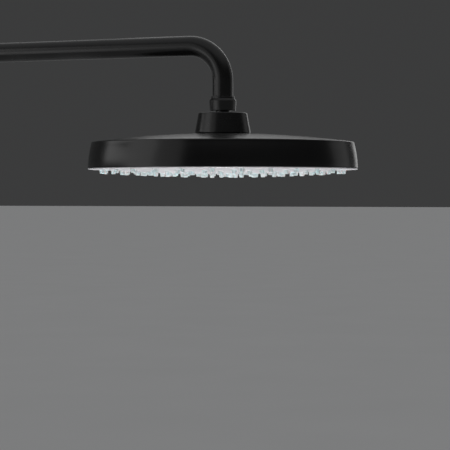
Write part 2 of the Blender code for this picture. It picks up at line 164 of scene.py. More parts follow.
def effect(tree, group, **values):
    """Places an effect group in a material. Underscores in the names stand for spaces."""
    placed = tree.nodes.new("ShaderNodeGroup")
    placed.node_tree = group
    for name, value in values.items():
        placed.inputs[name.replace("_", " ")].default_value = value
    return placed.outputs


def mix_colour(tree, factor, first, second):
    mix = node(tree, "ShaderNodeMix", {"Factor": factor, 6: first, 7: second}, data_type="RGBA")
    return mix.outputs[2]


def grey(level, tint=(1.0, 1.0, 1.0)):
    return (*(level * part for part in tint), 1.0)


def bumped(tree, height, depth):
    """A Normal from a height of 0 to 1, with depth in metres."""
    return node(tree, "ShaderNodeBump", {"Height": height, "Distance": depth}).outputs["Normal"]


def new_material(name):
    material = bpy.data.materials.new(name)
    material.use_nodes = True
    return material, material.node_tree, material.node_tree.nodes["Principled BSDF"].inputs


def black_coat(name, shades, roughness, grain, patch_size, edge_rubbing_and_highlight, wiping, spots):
    """A thin black coat: even grain, polished a little where it is handled, smoother and lighter on rounded
    edges, spotted by lime. The lighter edge colour is partly wear and partly a painted edge highlight.

    Shades and roughness run from one patch to the next. Grain is (size, depth), the edge tuple is (breakup of
    the edge, share of the lighter edge shade, that shade, roughness lost), and spots are (size, amount,
    strength)."""
    material, tree, surface = new_material(name)
    breakup, loss, edge_wear_and_highlight_shade, smoother = edge_rubbing_and_highlight
    spot_size, amount, strength = spots
    height = effect(tree, FINE_GRAIN, Grain_Size=grain[0])["Height"]
    hands = effect(tree, HANDLING, Patch_Size=patch_size)
    edge = effect(tree, RUBBED_EDGE_AND_HIGHLIGHT, Breakup=breakup)["Mask"]
    drops = effect(tree, WATER_SPOTS, Spot_Size=spot_size, Amount=amount)["Mask"]
    black = mix_colour(tree, hands["Patches"], *shades)
    # Rounded edges are mixed towards a lighter grey: partly edge wear, partly a painted edge highlight.
    rubbed_and_highlighted = mix_colour(tree, math_node(tree, "MULTIPLY", edge, loss), black, grey(edge_wear_and_highlight_shade))
    limed = math_node(tree, "MULTIPLY", drops, strength)
    wire(tree, mix_colour(tree, limed, rubbed_and_highlighted, grey(0.30)), surface["Base Color"])
    dull = between(tree, hands["Patches"], *roughness)
    streaked = math_node(tree, "SUBTRACT", dull, math_node(tree, "MULTIPLY", hands["Streaks"], wiping))
    worn = math_node(tree, "SUBTRACT", streaked, math_node(tree, "MULTIPLY", edge, smoother))
    wire(tree, worn, surface["Roughness"])
    wire(tree, bumped(tree, height, grain[1]), surface["Normal"])
    return material


# Matte powder coat on metal
POWDER_COAT = black_coat(
    "powder_coat",
    shades=(grey(0.0055), grey(0.0085, (1.0, 1.0, 1.03))),
    roughness=(0.22, 0.28),
    grain=(0.00055, 0.000012),
    patch_size=0.035,
    # Edges: lighter grey, partly wear and partly a painted highlight, and smoother.
    edge_rubbing_and_highlight=(0.7, 0.5, 0.035, 0.08),
    wiping=0.05,
    spots=(0.006, 0.06, 0.10),
)


def on_axis(outline):
    """Whether an outline starts and ends on the axis, so that it has no bore."""
    return outline[0][0] == 0 and outline[-1][0] == 0


def rod(radius, low, high):
    """The outline of a plain round rod, which also serves as a drill."""
    return [(0, low, 0), (radius, low, 0), (radius, high, 0), (0, high, 0)]


def filleted(corners):
    """An outline of (radius, height, on_edge) from (radius, height, fillet) corners.

    Each rounded corner gets an arc and a holding point on both sides, which keep flats flat in shading."""
    points = []
    last = len(corners) - 1
    for index, (radius, height, fillet) in enumerate(corners):
        if fillet == 0 or (on_axis(corners) and index in (0, last)):
            points.append((radius, height, 0.0))
            continue
        here = Vector((radius, height))
        before = (Vector(corners[index - 1][:2]) - here).normalized()
        after = (Vector(corners[(index + 1) % len(corners)][:2]) - here).normalized()
        half = before.angle(after) / 2
        centre = here + (before + after).normalized() * (fillet / math.sin(half))
        reach = fillet / math.tan(half)
        start = here + before * reach - centre
        turn = math.pi - 2 * half
        if start.x * after.y - start.y * after.x < 0:
            turn = -turn
        steps = max(2, math.ceil(abs(turn) / math.radians(18)))
        hold = here + before * (reach + 0.25 * fillet)
        points.append((hold.x, hold.y, 0.0))
        for step in range(steps + 1):
            angle = turn * step / steps
            arc = centre + Matrix.Rotation(angle, 2) @ start
            points.append((arc.x, arc.y, 1.0))
        hold = here + after * (reach + 0.25 * fillet)
        points.append((hold.x, hold.y, 0.0))
    return points


def turned(name, outline, material, seat=Matrix.Identity(4), sides=ROUND, form=None):
    """A piece turned about its own Z axis from an outline in millimetres, then set in its place by seat.

    form(radius, height, angle), where given, reshapes the radius, for flutes and threads."""
    vertices, edges_marked, faces, rows = [], [], [], []
    for radius, height, on_edge in outline:
        first = len(vertices)
        count = 1 if radius < 1e-6 else sides
        for side in range(count):
            angle = math.tau * side / sides
            reach = form(radius, height, angle) if form and count > 1 else radius
            vertices.append((reach * math.cos(angle) * MM, reach * math.sin(angle) * MM, height * MM))
            edges_marked.append(on_edge)
        rows.append([first + (side if count > 1 else 0) for side in range(sides)])
    pairs = list(zip(rows, rows[1:])) + ([] if on_axis(outline) else [(rows[-1], rows[0])])
    for low, high in pairs:
        for side in range(sides):
            after = (side + 1) % sides
            loop = dict.fromkeys((low[side], low[after], high[after], high[side]))
            if len(loop) > 2:
                faces.append(tuple(loop))
    mesh = bpy.data.meshes.new(name)
    mesh.from_pydata(vertices, [], faces)
    marks = mesh.attributes.new("edge", "FLOAT", "POINT")
    marks.data.foreach_set("value", edges_marked)
    mesh.transform(seat)
    return finished(name, mesh, material)


def shaded(mesh, sharp=40):
    """Shades a mesh smooth, except across edges sharper than an angle in degrees."""
    mesh.shade_smooth()
    mesh.set_sharp_from_angle(angle=math.radians(sharp))


def finished(name, mesh, material, sharp=40):
    """Makes a mesh an object with outward faces and smooth shading."""
    builder = bmesh.new()
    builder.from_mesh(mesh)
    bmesh.ops.remove_doubles(builder, verts=builder.verts, dist=1e-7)
    bmesh.ops.recalc_face_normals(builder, faces=builder.faces)
    builder.to_mesh(mesh)
    builder.free()
    shaded(mesh, sharp)
    mesh.materials.clear()
    mesh.materials.append(material)
    piece = bpy.data.objects.new(name, mesh)
    bpy.context.scene.collection.objects.link(piece)
    return piece


def baked(piece):
    """Applies a piece's modifiers and leaves a plain mesh."""
    mesh = bpy.data.meshes.new_from_object(piece.evaluated_get(bpy.context.evaluated_depsgraph_get()))
    piece.modifiers.clear()
    piece.data = mesh
    return piece


def cut(piece, tool, operation="DIFFERENCE"):
    """Cuts a tool out of a piece, or joins it on, and removes the tool."""
    modifier = piece.modifiers.new("cut", "BOOLEAN")
    modifier.operation = operation
    modifier.object = tool
    baked(piece)
    shaded(piece.data)
    bpy.data.objects.remove(tool)
    return piece


def cast(piece, voxel, passes):
    """Runs a joined shape together into one casting, with soft inside corners."""
    remesh = piece.modifiers.new("cast", "REMESH")
    remesh.mode = "VOXEL"
    remesh.voxel_size = voxel * MM
    remesh.use_smooth_shade = True
    smooth = piece.modifiers.new("soften", "SMOOTH")
    smooth.factor = 0.5
    smooth.iterations = passes
    return baked(piece)


def fitted(piece, body, slot, *nodes):
    """Hangs a piece on its body and lets it stand for its CAD nodes, which it hides. Its slot, the name of
    its finish, is not used.
    """
    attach(piece, body)
    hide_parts(*nodes)
    return piece


def middle(name):
    low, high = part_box(name)
    return (low + high) / 2


WALL = max(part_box("bracket_base")[1].y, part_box("inlet_cover")[1].y)
RISER_AXIS = middle("riser_tube")
STANDOFF = (WALL - RISER_AXIS.y) / MM
OUT_OF_WALL = Matrix.Rotation(math.radians(90), 4, "X")  # turns +Z to face out of the wall

ELBOW_HEIGHT = middle("inlet_cover").z
ELBOW_SEAT = Matrix.Translation((RISER_AXIS.x, WALL, ELBOW_HEIGHT)) @ OUT_OF_WALL
KNUCKLE_SEAT = Matrix.Translation((RISER_AXIS.x, RISER_AXIS.y, ELBOW_HEIGHT))
KNUCKLE_RADIUS = 14.0
SOCKET_TOP = 29.0
FEED_RADIUS = 6.5
SOCKET_RADIUS = 11.4
PIPE_RADIUS = 11.8


def inlet_elbow():
    round_end = [
        (KNUCKLE_RADIUS * math.cos(math.radians(angle)), KNUCKLE_RADIUS * math.sin(math.radians(angle)), 0)
        for angle in range(-85, 1, 5)
    ]
    body = [(0, -KNUCKLE_RADIUS, 0), *round_end, (KNUCKLE_RADIUS, SOCKET_TOP, 0.8), (0, SOCKET_TOP, 0)]
    knuckle = turned("inlet_elbow", filleted(body), POWDER_COAT, KNUCKLE_SEAT)
    pipe = filleted([(0, 1.0, 0), (PIPE_RADIUS, 1.0, 0.4), (PIPE_RADIUS, STANDOFF, 0), (0, STANDOFF, 0)])
    cut(knuckle, turned("pipe", pipe, POWDER_COAT, ELBOW_SEAT), "UNION")
    cast(knuckle, 0.5, 4)
    cut(knuckle, turned("feed", rod(FEED_RADIUS, -2, STANDOFF), POWDER_COAT, ELBOW_SEAT, 48))
    socket = [(SOCKET_RADIUS, 12.7, 0), (SOCKET_RADIUS, 31, 0)]
    rise = [(0, -2, 0), (8.5, -2, 0), (8.5, 12.7, 0), *socket, (0, 31, 0)]
    cut(knuckle, turned("rise", rise, POWDER_COAT, KNUCKLE_SEAT))
    shaded(knuckle.data, 50)
    fitted(knuckle, "base", "black_metal", "inlet_elbow")


inlet_elbow()

# ---------------------------------------------------------------- wall inlet, thread and filter
# The spigot's end carries a half-inch pipe thread, cut after casting and left as bare brass. A moulded ring
# with a steel gauze sits in its bore and keeps grit out.

THREAD_PITCH = 1.81
THREAD_DEPTH = 1.1
THREAD_RADIUS = 10.4
THREAD_END = -14.0


def turning_group():
    """Fine rings that a lathe tool leaves round a Z or Y axis, with a faint irregular beat."""
    tree, given, out = effect_group("turning_marks", {"Pitch": 0.0002, "Along Y": 0.0}, ["Height"])
    axes = node(tree, "ShaderNodeSeparateXYZ", {"Vector": on_piece(tree)}).outputs
    along = node(tree, "ShaderNodeMix", {"Factor": given["Along Y"], 2: axes["Z"], 3: axes["Y"]}).outputs[0]
    rings = math_node(tree, "DIVIDE", along, given["Pitch"])
    lines = node(tree, "ShaderNodeTexNoise", {"Detail": 3.0, "Scale": 1.0}, noise_dimensions="1D")
    wire(tree, rings, lines.inputs["W"])
    wire(tree, lines.outputs["Fac"], out["Height"])
    return tree


TURNING = turning_group()


def turned_brass(name, along_y):
    """Lathe-turned brass, brown in its hollows where it has tarnished."""
    material, tree, surface = new_material(name)
    marks = effect(tree, TURNING, Pitch=0.00018, Along_Y=along_y)["Height"]
    hands = effect(tree, HANDLING, Patch_Size=0.012)
    bright = mix_colour(tree, marks, (0.62, 0.40, 0.14, 1), (0.80, 0.56, 0.24, 1))
    wire(tree, mix_colour(tree, hands["Patches"], bright, (0.46, 0.28, 0.10, 1)), surface["Base Color"])
    surface["Metallic"].default_value = 1.0
    wire(tree, between(tree, hands["Patches"], 0.24, 0.42), surface["Roughness"])
    wire(tree, bumped(tree, marks, 0.000015), surface["Normal"])
    return material


BRASS_ALONG_Y = turned_brass("brass_turned_along_wall", 1.0)


def moulded(name, dark, light, roughness, grain_size, grain_depth, patch_size=0.02):
    """A moulded plastic or rubber: two near shades in soft patches, and a fine grain."""
    material, tree, surface = new_material(name)
    grain = effect(tree, FINE_GRAIN, Grain_Size=grain_size)["Height"]
    hands = effect(tree, HANDLING, Patch_Size=patch_size)
    wire(tree, mix_colour(tree, hands["Patches"], dark, light), surface["Base Color"])
    wire(tree, between(tree, hands["Patches"], roughness - 0.04, roughness + 0.05), surface["Roughness"])
    wire(tree, bumped(tree, grain, grain_depth), surface["Normal"])
    return material, surface


CREAM = (0.66, 0.65, 0.60, 1)
PALE_CREAM = (0.74, 0.73, 0.69, 1)
ACETAL, acetal_surface = moulded("acetal", CREAM, PALE_CREAM, 0.36, 0.0004, 0.000006)
acetal_surface["Subsurface Weight"].default_value = 0.15
acetal_surface["Subsurface Radius"].default_value = (0.002, 0.0018, 0.0015)


def thread_form(radius, height, angle):
    """A V thread with flattened crests and roots, which fades out at both ends of its spigot."""
    if radius < THREAD_RADIUS - THREAD_DEPTH:
        return radius
    turn = (height / THREAD_PITCH - angle / math.tau) % 1.0
    groove = min(1.0, max(0.0, 2.6 * abs(turn - 0.5) - 0.15))
    fade = min(1.0, (height - THREAD_END) / 1.6, max(0.0, -height / 1.2))
    return radius - THREAD_DEPTH * groove * max(0.0, fade)


def inlet_thread():
    crest = [(THREAD_RADIUS, THREAD_END + 0.2 * step, 0) for step in range(71)]
    bore = [(THREAD_RADIUS, 1.4, 0), (FEED_RADIUS, 1.4, 0), (FEED_RADIUS, THREAD_END + 0.5, 0)]
    mouth = [(FEED_RADIUS + 0.5, THREAD_END, 0), (THREAD_RADIUS - 0.9, THREAD_END, 0)]
    outline = [(THREAD_RADIUS - THREAD_DEPTH, THREAD_END + 0.1, 0), *crest, *bore, *mouth]
    piece = turned("inlet_thread", outline, BRASS_ALONG_Y, ELBOW_SEAT, form=thread_form)
    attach(piece, "base")


def dressed(material, *names):
    """Gives its finish to each CAD piece that keeps its own shape."""
    for name in names:
        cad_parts[name].data.materials[0] = material


inlet_thread()
dressed(ACETAL, "inlet_filter")

# ---------------------------------------------------------------- wall inlet, cover
# A cup spun from brass sheet and coated like the rest. It slides along the spigot up to the tiles, and
# hides the hole in them.


def coated(name, corners, seat, body="base", sides=ROUND, form=None):
    """A turned piece in powder coat, which stands for the CAD node of its own name."""
    piece = turned(name, filleted(corners), POWDER_COAT, seat, sides, form)
    return fitted(piece, body, "black_metal", name)


COVER_CORNERS = [
    (28.5, 0, 0.3),
    (30.0, 0, 0.5),
    (30.0, 1.6, 0.6),
    (26.4, 8.6, 3.0),
    (23.0, 10.0, 2.5),
    (12.2, 10.0, 0.5),
    (12.2, 8.4, 0.2),
    (22.8, 8.4, 1.5),
    (25.4, 7.2, 1.5),
    (28.5, 1.4, 0.3),
]
coated("inlet_cover", COVER_CORNERS, ELBOW_SEAT, sides=128)

# ---------------------------------------------------------------- riser
# A straight drawn brass tube in the same coat. Its foot stands in the elbow's socket, where a turned union
# nut pulls it down on a rubber ring.

RISER_FOOT, RISER_TOP = (corner.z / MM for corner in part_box("riser_tube"))
RISER_SEAT = Matrix.Translation((RISER_AXIS.x, RISER_AXIS.y, 0))
FLATS = 8
FLAT_DISTANCE = 16.1
RUBBER, _ = moulded("black_rubber", grey(0.012), grey(0.022), 0.62, 0.0003, 0.00001)


def riser():
    outer, bore = 11.0, 9.9
    foot_edge = [(bore, RISER_FOOT, 0.3), (outer, RISER_FOOT, 0.5)]
    top_edge = [(outer, RISER_TOP, 0.4), (bore, RISER_TOP, 0.3)]
    coated("riser_tube", foot_edge + top_edge, RISER_SEAT)


def union_nut():
    """A round nut with eight shallow flats for a spanner round its upper half."""
    foot, top = (corner.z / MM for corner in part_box("riser_union_nut"))
    corners = [
        (14.3, foot, 0.3),
        (17.0, foot, 0.8),
        (17.0, foot + 4.6, 0.25),
        (16.5, foot + 4.9, 0.25),
        (16.5, foot + 5.6, 0.25),
        (17.0, foot + 5.9, 0.25),
        (17.0, top - 3.4, 1.2),
        (15.2, top, 1.0),
        (11.4, top, 0.4),
        (11.4, foot + 17.4, 0.2),
        (14.3, foot + 17.4, 0.2),
    ]

    def spanner_flats(radius, height, angle):
        if radius < 15.0 or not foot + 5.8 < height < top - 1.5:
            return radius
        share = math.tau / FLATS
        from_flat = (angle + share / 2) % share - share / 2
        return min(radius, FLAT_DISTANCE / math.cos(from_flat))

    coated("riser_union_nut", corners, RISER_SEAT, sides=192, form=spanner_flats)


riser()
union_nut()
dressed(RUBBER, "riser_seal")

# ---------------------------------------------------------------- wall bracket
# A brass plate is screwed to the wall, under a spun cover. The arm plugs onto the plate's stub and its ring
# goes round the riser. A grub screw in each holds it still.

BRACKET_SEAT = Matrix.Translation((RISER_AXIS.x, WALL, 0)) @ OUT_OF_WALL
RING_HALF = 12.0
POST_RADIUS = 8.4


def machined_steel():
    """Bright stainless, turned, with a few fine scratches from handling."""
    material, tree, surface = new_material("stainless")
    marks = effect(tree, TURNING, Pitch=0.00012, Along_Y=0.0)["Height"]
    hands = effect(tree, HANDLING, Patch_Size=0.006)
    wire(tree, mix_colour(tree, marks, grey(0.42), grey(0.62, (1.0, 0.99, 0.97))), surface["Base Color"])
    surface["Metallic"].default_value = 1.0
    wire(tree, between(tree, hands["Streaks"], 0.24, 0.38), surface["Roughness"])
    wire(tree, bumped(tree, marks, 0.00001), surface["Normal"])
    return material


STEEL = machined_steel()


def bracket_plate():
    corners = [(0, 0, 0), (24.0, 0, 0.3), (24.0, 5.0, 0.6), (5.0, 5.0, 0.6), (5.0, 22.0, 0.8), (0, 22.0, 0)]
    plate = turned("bracket_base", filleted(corners), BRASS_ALONG_Y, BRACKET_SEAT)
    for side in (-1, 1):
        hole = [(0, -1, 0), (2.4, -1, 0), (2.4, 2.6, 0), (4.8, 5.0, 0), (4.8, 6.0, 0), (0, 6.0, 0)]
        aside = BRACKET_SEAT @ Matrix.Translation((15.0 * MM * side, 0, 0))
        cut(plate, turned("screw_hole", hole, BRASS_ALONG_Y, aside, 40))
    fitted(plate, "base", "brass", "bracket_base")


def bracket_cover():
    corners = [
        (25.4, 0, 0.3),
        (27.0, 0, 0.4),
        (27.0, 9.0, 2.6),
        (9.0, 9.0, 0.4),
        (9.0, 7.5, 0.2),
        (25.4, 7.5, 1.2),
    ]
    coated("bracket_cover", corners, BRACKET_SEAT, sides=128)


def bracket_arm():
    post_end = STANDOFF - 12.5
    ring = [(0, -RING_HALF, 0), (15.6, -RING_HALF, 0.9), (15.6, RING_HALF, 0.9), (0, RING_HALF, 0)]
    arm = turned("bracket_arm", filleted(ring), POWDER_COAT, RISER_SEAT)
    post = filleted([(0, 5.5, 0), (POST_RADIUS, 5.5, 0.3), (POST_RADIUS, post_end, 0), (0, post_end, 0)])
    cut(arm, turned("post", post, POWDER_COAT, BRACKET_SEAT), "UNION")
    cast(arm, 0.45, 4)
    cut(arm, turned("socket", rod(5.4, 3, 23), POWDER_COAT, BRACKET_SEAT, 64))
    cut(arm, turned("bore", rod(11.4, -20, 20), POWDER_COAT, RISER_SEAT))
    for _, seat, (low, high), _ in grub_places():
        cut(arm, turned("grub_hole", rod(1.75, low, high), POWDER_COAT, seat, 32))
    shaded(arm.data, 50)
    fitted(arm, "base", "black_metal", "bracket_arm")


def grub_places():
    """Each grub screw's name, its hole's seat with +Z along the hole, the hole's ends and the screw's ends.

    The screw's outer end, where its key goes in, comes first."""
    post, ring = "post_grub_screw", "ring_grub_screw"
    under_post = Matrix.Translation(middle(post) * Vector((1, 1, 0)))
    post_ends = [corner.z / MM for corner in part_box(post)]
    beside_ring = RISER_SEAT @ Matrix.Rotation(math.radians(90), 4, "Y")
    ring_ends = [(corner.x - RISER_AXIS.x) / MM for corner in reversed(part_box(ring))]
    return [(post, under_post, (-10.0, -4.0), post_ends), (ring, beside_ring, (10.0, 18.0), ring_ends)]


def grub_screws():
    """Headless screws with a hexagon socket in the outer end."""
    for name, seat, _, (outer_end, inner_end) in grub_places():
        inward = math.copysign(1.0, inner_end - outer_end)
        corners = [(0, inner_end, 0), (1.45, inner_end, 0.25), (1.45, outer_end, 0.2), (0, outer_end, 0)]
        screw = turned(name, filleted(corners), STEEL, seat, 40)
        key = rod(0.85, outer_end + 1.4 * inward, outer_end - 0.5 * inward)
        cut(screw, turned("key", key, STEEL, seat, 6))
        shaded(screw.data, 30)
        fitted(screw, "base", "steel", name)


bracket_plate()
bracket_cover()
bracket_arm()
grub_screws()

# ---------------------------------------------------------------- lock
# A turned brass nut with cast-in flutes, coated black. It screws down over a split acetal cone at the
# riser's top, which then grips the arm's tube.

FLUTES = 24
FLUTE_DEPTH = 0.55


def lock_nut():
    foot, top = (corner.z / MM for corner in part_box("lock_nut"))
    grip_low, grip_high = foot + 4.0, top - 9.5
    wall = [(15.2, foot + 1.0 + 0.5 * step, 0) for step in range(51)]
    corners = [
        (11.4, foot, 0.3),
        (14.6, foot, 0.7),
        *wall,
        (13.0, top, 1.6),
        (9.95, top, 0.5),
        (9.95, top - 4.0, 0.1),
        (11.8, top - 5.8, 0.2),
        (13.0, top - 12.8, 0.2),
        (13.0, RISER_TOP, 0.1),
        (11.4, RISER_TOP, 0.1),
    ]

    def flutes(radius, height, angle):
        if radius < 14.9:
            return radius
        fade = min(1.0, max(0.0, (height - grip_low) / 1.2), max(0.0, (grip_high - height) / 1.2))
        groove = max(0.0, math.cos(FLUTES * angle)) ** 0.8
        return radius - FLUTE_DEPTH * fade * groove

    coated("lock_nut", corners, RISER_SEAT, "lock_nut", FLUTES * 12, flutes)


lock_nut()
dressed(ACETAL, "clamp_collet")

# ---------------------------------------------------------------- sliding foot
# Inside the riser the arm's tube ends in a brass piston with two rubber rings, which keep the water in as
# the tube slides.

BRASS = turned_brass("brass_turned_upright", 0.0)
dressed(BRASS, "piston")
dressed(RUBBER, "piston_seal_1", "piston_seal_2")

# ---------------------------------------------------------------- arm
# One 19 mm brass tube, bent twice on a former and coated black, runs from the piston to the head. Its end
# is brazed to a threaded nipple.

ARM_LOW, ARM_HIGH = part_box("upper_tube")
HEAD_AXIS = middle("head_shell")
TUBE_RADIUS = (ARM_HIGH.x - ARM_LOW.x) / 2
TUBE_WALL = 1.2 * MM
BEND_RADIUS = 33.5 * MM
NIPPLE_LIP = 76.0 - 66.6  # nipple's hidden length above its lip


def geometry_tree(name, inputs, output="Geometry"):
    """An empty Geometry Nodes tree with named inputs and one geometry output.

    An input is given by its default number or place, or by its kind where it has none."""
    kinds = {int: "NodeSocketInt", float: "NodeSocketFloat", tuple: "NodeSocketVector"}
    tree = bpy.data.node_groups.new(name, "GeometryNodeTree")
    sockets = {}
    for label, default in inputs.items():
        kind = kinds.get(type(default), default)
        socket = tree.interface.new_socket(label, in_out="INPUT", socket_type=kind)
        if kind != default:
            socket.default_value = default
        sockets[label] = socket.identifier
    tree.interface.new_socket(output, in_out="OUTPUT", socket_type="NodeSocketGeometry")
    return tree, sockets, tree.nodes.new("NodeGroupInput").outputs, tree.nodes.new("NodeGroupOutput").inputs


def dressed_output(tree, geometry, given, out):
    """Ends a tree: makes its instances real and gives them their material."""
    real = node(tree, "GeometryNodeRealizeInstances", {"Geometry": geometry})
    finish = {"Geometry": real.outputs["Geometry"], "Material": given["Material"]}
    dressed = node(tree, "GeometryNodeSetMaterial", finish)
    wire(tree, dressed.outputs["Geometry"], out["Geometry"])


def grown(name, tree, sockets, values, material, sharp=40):
    """Runs a Geometry Nodes tree with its inputs set, and keeps the result as a plain mesh."""
    holder = bpy.data.objects.new(name, bpy.data.meshes.new(name))
    bpy.context.scene.collection.objects.link(holder)
    modifier = holder.modifiers.new(name, "NODES")
    modifier.node_group = tree
    for label, value in values.items():
        modifier[sockets[label]] = value
    holder.update_tag()
    mesh = bpy.data.meshes.new_from_object(holder.evaluated_get(bpy.context.evaluated_depsgraph_get()))
    bpy.data.objects.remove(holder)
    return finished(name, mesh, material, sharp)


def bent_tube_tree():
    """A tube swept along up, out and down, with its two corners bent to one radius."""
    stations = ("Foot", "Rear Corner", "Front Corner", "End")
    sizes = {"Bend Radius": BEND_RADIUS, "Tube Radius": TUBE_RADIUS, "Material": "NodeSocketMaterial"}
    tree, sockets, given, out = geometry_tree(
        "bent_tube", {**dict.fromkeys(stations, (0.0, 0.0, 0.0)), **sizes}
    )
    legs = []
    for start, end in zip(stations, stations[1:]):
        line = node(tree, "GeometryNodeCurvePrimitiveLine", {"Start": given[start], "End": given[end]})
        legs.append(line.outputs["Curve"])
    join = tree.nodes.new("GeometryNodeJoinGeometry")
    for leg in reversed(legs):
        mesh = node(tree, "GeometryNodeCurveToMesh", {"Curve": leg}).outputs["Mesh"]
        tree.links.new(mesh, join.inputs["Geometry"])
    route = node(tree, "GeometryNodeMergeByDistance", {"Geometry": join.outputs[0], "Distance": 1e-5})
    curve = node(tree, "GeometryNodeMeshToCurve", {"Mesh": route.outputs["Geometry"]})
    bend = node(
        tree,
        "GeometryNodeFilletCurve",
        {"Curve": curve.outputs["Curve"], "Radius": given["Bend Radius"], "Count": 30, "Limit Radius": True},
        mode="POLY",
    )
    circle = {"Radius": given["Tube Radius"], "Resolution": 80}
    section = node(tree, "GeometryNodeCurvePrimitiveCircle", circle)
    rails = {"Curve": bend.outputs["Curve"], "Profile Curve": section.outputs["Curve"]}
    swept = node(tree, "GeometryNodeCurveToMesh", rails)
    dressed_output(tree, swept.outputs["Mesh"], given, out)
    return tree, sockets


def arm_tube():
    tree, sockets = bent_tube_tree()
    rear = Vector((RISER_AXIS.x, RISER_AXIS.y, ARM_HIGH.z - TUBE_RADIUS))
    front = Vector((HEAD_AXIS.x, HEAD_AXIS.y, ARM_HIGH.z - TUBE_RADIUS))
    end = Vector((front.x, front.y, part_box("arm_nipple")[1].z - NIPPLE_LIP * MM + 0.3 * MM))
    values = {
        "Foot": (rear.x, rear.y, ARM_LOW.z),
        "Rear Corner": rear[:],
        "Front Corner": front[:],
        "End": end[:],
        "Bend Radius": BEND_RADIUS,
        "Tube Radius": TUBE_RADIUS,
        "Material": POWDER_COAT,
    }
    tube = grown("upper_tube", tree, sockets, values, POWDER_COAT)
    wall = tube.modifiers.new("wall", "SOLIDIFY")
    wall.thickness = TUBE_WALL
    wall.offset = -1.0
    baked(tube)
    shaded(tube.data)
    fitted(tube, "arm", "black_metal", "upper_tube")


def arm_nipple():
    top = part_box("arm_nipple")[1].z / MM
    lip = top - NIPPLE_LIP
    corners = [
        (6.0, top - 18.8, 0.3),
        (10.45, top - 18.8, 0.3),
        (10.45, lip - 1.7, 0.1),
        (10.9, lip - 1.7, 0.1),
        (10.9, lip, 0.5),
        (8.0, lip, 0.1),
        (8.0, top, 0.3),
        (6.0, top, 0.3),
    ]
    seat = Matrix.Translation((HEAD_AXIS.x, HEAD_AXIS.y, 0))
    fitted(turned("arm_nipple", filleted(corners), POWDER_COAT, seat), "arm", "brass", "arm_nipple")


arm_tube()
arm_nipple()
dressed(RUBBER, "inlet_washer")
dressed(ACETAL, "flow_regulator")

# ---------------------------------------------------------------- ball joint
# The collar, its neck and the drilled ball are turned from one bar. The ball sits in an acetal liner, held
# between an acetal ring above and a rubber cup below, and the conical nut pulls them together.

HEAD_SEAT = Matrix.Translation((HEAD_AXIS.x, HEAD_AXIS.y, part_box("head_shell")[0].z))
BALL_HEIGHT = 42.0
BALL_RADIUS = 10.0
BALL_BORE = 4.0
NECK_RADIUS = 6.5


def ball_arc(radius, start, end, step=5):
    """Points up a ball from one polar angle to another, in degrees above its middle."""
    return [
        (radius * math.cos(math.radians(angle)), BALL_HEIGHT + radius * math.sin(math.radians(angle)), 0)
        for angle in range(start, end + 1, step)
    ]


def swivel_collar():
    corners = [
        *ball_arc(BALL_RADIUS, -66, 49),
        (NECK_RADIUS, 53.3, 0.3),
        (11.9, 53.3, 0.5),
        (12.5, 62.4, 0.6),
        (11.3, 64.6, 0.2),
        (10.75, 64.6, 0.1),
        (10.75, 54.6, 0.1),
        (BALL_BORE, 54.6, 0.2),
    ]
    coated("swivel_collar", corners, HEAD_SEAT, "arm", 128)


def ball_seats():
    liner = [*ball_arc(10.35, -35, 25), *reversed(ball_arc(11.3, -32, 23))]
    fitted(turned("ball_liner", liner, ACETAL, HEAD_SEAT), "liner", "acetal", "ball_liner")
    seat = filleted([(16.8, 41.8, 0.3), (16.8, 46.6, 0.5), *reversed(ball_arc(11.6, 0, 20))])
    fitted(turned("ball_seat", seat, ACETAL, HEAD_SEAT), "seats", "acetal", "ball_seat")
    dressed(RUBBER, "ball_seal")


def bell_nut():
    corners = [
        (17.2, 32.5, 0.2),
        (25.7, 32.5, 0.35),
        (25.75, 33.6, 0.3),
        (22.5, 51.3, 0.9),
        (15.0, 51.3, 0.5),
        (15.0, 49.0, 0.2),
        (10.6, 49.0, 0.2),
        (10.6, 46.9, 0.2),
        (17.2, 46.9, 0.2),
    ]
    coated("bell_nut", corners, HEAD_SEAT, "head", 160)


swivel_collar()
ball_seats()
bell_nut()

# ---------------------------------------------------------------- rain head, shell
# A thin pressed shell with a shallow domed top and a wall that leans in, sprayed satin black. It covers the
# water chamber, and the conical nut holds it down.

SHELL_RADIUS = 125.0
WALL_TOP = 22.0
WALL_LEAN = 3.0
WALL_POWER = 1.8
DOME_TOP = 32.1
DOME_CURVE = 0.00055
SHOULDER = 119.6
SHELL_HOLE = 17.0


# Sprayed black on a moulded shell: smoother than the powder coat, with a faint orange peel
SATIN_BLACK = black_coat(
    "satin_black",
    shades=(grey(0.005), grey(0.0075)),
    roughness=(0.21, 0.26),
    grain=(0.0011, 0.00001),
    patch_size=0.06,
    # Edges: lighter grey, partly wear and partly a painted highlight.
    edge_rubbing_and_highlight=(0.6, 0.4, 0.03, 0.0),
    wiping=0.03,
    spots=(0.008, 0.05, 0.08),
)


def dome(radius):
    return DOME_TOP - DOME_CURVE * radius * radius


def head_shell():
    wall = []
    for step in range(12):
        height = WALL_TOP * step / 11
        wall.append((SHELL_RADIUS - WALL_LEAN * (height / WALL_TOP) ** WALL_POWER, height, 0))
    wall[0] = (SHELL_RADIUS, 0, 0.3)
    top_radius = wall[-1][0]
    corner = (top_radius - 0.25, dome(SHOULDER) - 0.35, 1.1)
    roof_radii = [SHOULDER - 3 - (SHOULDER - 3 - SHELL_HOLE) * step / 40 for step in range(41)]
    roof = [(radius, dome(radius), 0) for radius in roof_radii]
    under = [(radius, dome(radius) - 2.2, 0) for radius in reversed(roof_radii)]
    inside = [(top_radius - 2.6, WALL_TOP - 1.5, 0.5), (SHELL_RADIUS - 2.4, 0, 0.3)]
    outline = filleted([*wall, corner, *roof, *under, *inside])
    piece = turned("head_shell", outline, SATIN_BLACK, HEAD_SEAT, 288)
    fitted(piece, "head", "black_abs", "head_shell")


head_shell()

